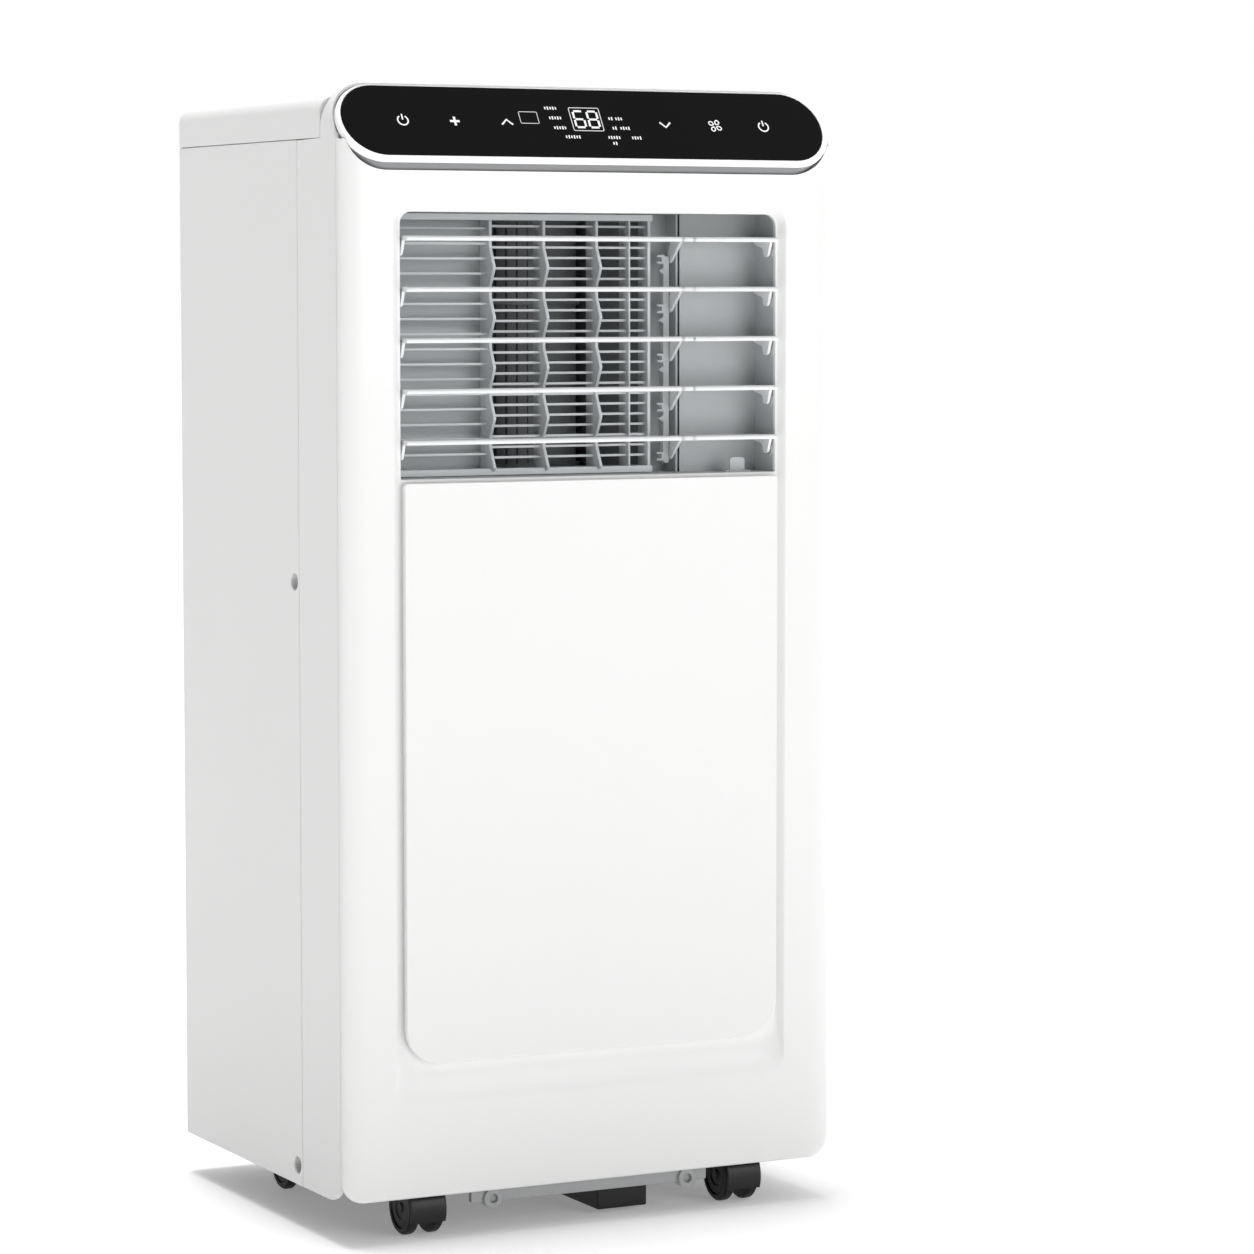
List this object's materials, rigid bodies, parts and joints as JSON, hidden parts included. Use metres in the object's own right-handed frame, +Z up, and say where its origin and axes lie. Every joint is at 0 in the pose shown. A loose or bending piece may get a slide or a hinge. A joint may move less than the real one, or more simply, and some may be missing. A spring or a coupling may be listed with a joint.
{
  "type": "portable air conditioner",
  "caption": "Upright wheeled room air conditioner with a tilted glass control head, coupled front louvres, rear intake grilles and a round rear exhaust collar.",
  "frame": {"origin": "on the floor, under the middle of the machine's bounding box", "axes": "+Z up, +Y to the back of the machine, +X to its right as seen from the front"},
  "size_m": [0.33, 0.2808, 0.688],
  "materials": {
    "white_abs": "satin-gloss white moulded ABS",
    "shell_abs": "fine-spark textured off-white ABS",
    "bright_rim": "bright white polished rim",
    "black_glass": "back-painted black glass",
    "duct_plastic": "light grey moulded plastic",
    "black_plastic": "black moulded polypropylene",
    "wheel_tread": "hard black nylon",
    "rail_plastic": "light grey plastic",
    "circuit_board": "green solder-masked board",
    "aluminium_fins": "thin pressed fins",
    "copper": "drawn copper tube",
    "motor_steel": "zinc-plated steel",
    "black_paint": "black stove enamel",
    "rubber": "black rubber",
    "filter_mesh": "dark nylon mesh"
  },
  "bodies": {
    "cabinet": {"front_fascia": "white_abs", "front_panel": "white_abs", "front_frame": "white_abs", "rear_shell": "shell_abs", "top_cover": "shell_abs", "control_bezel": "bright_rim", "control_glass": "black_glass", "display_board": "circuit_board", "outlet_duct": "duct_plastic", "guard_grille": "duct_plastic", "louvre_motor": "motor_steel", "air_guide": "duct_plastic", "blower_motor": "motor_steel", "evaporator_coil": "aluminium_fins", "mid_deck": "duct_plastic", "lower_intake_grille": "shell_abs", "exhaust_collar": "shell_abs", "cord_gland": "rubber", "base_pan": "black_plastic", "condensate_basin": "black_plastic", "front_foot_rail": "rail_plastic", "drain_tray": "black_plastic", "compressor": "black_paint", "accumulator": "black_paint", "suction_pipe": "copper", "discharge_pipe": "copper", "capillary_drier": "copper", "condenser_coil": "aluminium_fins", "exhaust_scroll": "duct_plastic", "exhaust_fan_motor": "motor_steel", "control_box": "black_plastic", "main_board": "circuit_board", "run_capacitor": "motor_steel"},
    "louvre_1": {"louvre_1": "duct_plastic"},
    "louvre_2": {"louvre_2": "duct_plastic"},
    "louvre_3": {"louvre_3": "duct_plastic"},
    "louvre_4": {"louvre_4": "duct_plastic"},
    "louvre_5": {"louvre_5": "duct_plastic"},
    "link_rod": {"link_rod": "white_abs"},
    "blower_wheel": {"blower_wheel": "black_plastic"},
    "exhaust_fan_wheel": {"exhaust_fan_wheel": "black_plastic"},
    "filter_cover": {"upper_intake_grille": "shell_abs", "upper_filter": "filter_mesh"},
    "upper_drain_cap": {"upper_drain_cap": "rubber"},
    "lower_drain_cap": {"lower_drain_cap": "rubber"},
    "caster_front_left_fork": {"caster_front_left_fork": "black_plastic"},
    "caster_front_left_wheels": {"caster_front_left_wheel_left": "wheel_tread", "caster_front_left_wheel_right": "wheel_tread"},
    "caster_front_right_fork": {"caster_front_right_fork": "black_plastic"},
    "caster_front_right_wheels": {"caster_front_right_wheel_left": "wheel_tread", "caster_front_right_wheel_right": "wheel_tread"},
    "caster_rear_left_fork": {"caster_rear_left_fork": "black_plastic"},
    "caster_rear_left_wheels": {"caster_rear_left_wheel_left": "wheel_tread", "caster_rear_left_wheel_right": "wheel_tread"},
    "caster_rear_right_fork": {"caster_rear_right_fork": "black_plastic"},
    "caster_rear_right_wheels": {"caster_rear_right_wheel_left": "wheel_tread", "caster_rear_right_wheel_right": "wheel_tread"}
  },
  "joints": [
    {"name": "louvre_3_tilt", "type": "hinge", "parent": "cabinet", "child": "louvre_3", "pos_m": [0, -0.12406, 0.5286], "axis": [1, 0, 0], "range_deg": [-15, 86]},
    {"name": "louvre_1_tilt", "type": "hinge", "parent": "cabinet", "child": "louvre_1", "pos_m": [0, -0.12406, 0.5886], "axis": [1, 0, 0], "range_deg": [-15, 86]},
    {"name": "louvre_2_tilt", "type": "hinge", "parent": "cabinet", "child": "louvre_2", "pos_m": [0, -0.12406, 0.5586], "axis": [1, 0, 0], "range_deg": [-15, 86]},
    {"name": "louvre_4_tilt", "type": "hinge", "parent": "cabinet", "child": "louvre_4", "pos_m": [0, -0.12406, 0.4986], "axis": [1, 0, 0], "range_deg": [-15, 86]},
    {"name": "louvre_5_tilt", "type": "hinge", "parent": "cabinet", "child": "louvre_5", "pos_m": [0, -0.12406, 0.4686], "axis": [1, 0, 0], "range_deg": [-15, 86]},
    {"name": "link_rod_pin", "type": "hinge", "parent": "louvre_3", "child": "link_rod", "pos_m": [0.063, -0.10356, 0.5246], "axis": [1, 0, 0], "range_deg": [-86, 15]},
    {"name": "blower_spin", "type": "hinge", "parent": "cabinet", "child": "blower_wheel", "pos_m": [-0.01, -0.02156, 0.53], "axis": [0, 0, 1], "continuous": true},
    {"name": "exhaust_fan_spin", "type": "hinge", "parent": "cabinet", "child": "exhaust_fan_wheel", "pos_m": [0, 0.04, 0.151], "axis": [0, 1, 0], "continuous": true},
    {"name": "filter_cover_pull", "type": "slide", "parent": "cabinet", "child": "filter_cover", "axis": [0, 1, 0], "range_m": [0, 0.04]},
    {"name": "upper_drain_cap_pull", "type": "slide", "parent": "cabinet", "child": "upper_drain_cap", "axis": [0, 1, 0], "range_m": [0, 0.012]},
    {"name": "lower_drain_cap_pull", "type": "slide", "parent": "cabinet", "child": "lower_drain_cap", "axis": [0, 1, 0], "range_m": [0, 0.012]},
    {"name": "caster_front_left_swivel", "type": "hinge", "parent": "cabinet", "child": "caster_front_left_fork", "pos_m": [-0.1075, -0.09876, 0.03], "axis": [0, 0, 1], "continuous": true},
    {"name": "caster_front_left_roll", "type": "hinge", "parent": "caster_front_left_fork", "child": "caster_front_left_wheels", "pos_m": [-0.1075, -0.10876, 0.0165], "axis": [1, 0, 0], "continuous": true},
    {"name": "caster_front_right_swivel", "type": "hinge", "parent": "cabinet", "child": "caster_front_right_fork", "pos_m": [0.1075, -0.09876, 0.03], "axis": [0, 0, 1], "continuous": true},
    {"name": "caster_front_right_roll", "type": "hinge", "parent": "caster_front_right_fork", "child": "caster_front_right_wheels", "pos_m": [0.1075, -0.10876, 0.0165], "axis": [1, 0, 0], "continuous": true},
    {"name": "caster_rear_left_swivel", "type": "hinge", "parent": "cabinet", "child": "caster_rear_left_fork", "pos_m": [-0.12, 0.05644, 0.03], "axis": [0, 0, 1], "continuous": true},
    {"name": "caster_rear_left_roll", "type": "hinge", "parent": "caster_rear_left_fork", "child": "caster_rear_left_wheels", "pos_m": [-0.12, 0.04644, 0.0165], "axis": [1, 0, 0], "continuous": true},
    {"name": "caster_rear_right_swivel", "type": "hinge", "parent": "cabinet", "child": "caster_rear_right_fork", "pos_m": [0.12, 0.05644, 0.03], "axis": [0, 0, 1], "continuous": true},
    {"name": "caster_rear_right_roll", "type": "hinge", "parent": "caster_rear_right_fork", "child": "caster_rear_right_wheels", "pos_m": [0.12, 0.04644, 0.0165], "axis": [1, 0, 0], "continuous": true}
  ],
  "couplings": [
    {"joint": "louvre_1_tilt", "follows": "louvre_3_tilt", "ratio": 1},
    {"joint": "louvre_2_tilt", "follows": "louvre_3_tilt", "ratio": 1},
    {"joint": "louvre_4_tilt", "follows": "louvre_3_tilt", "ratio": 1},
    {"joint": "louvre_5_tilt", "follows": "louvre_3_tilt", "ratio": 1},
    {"joint": "link_rod_pin", "follows": "louvre_3_tilt", "ratio": -1}
  ]
}
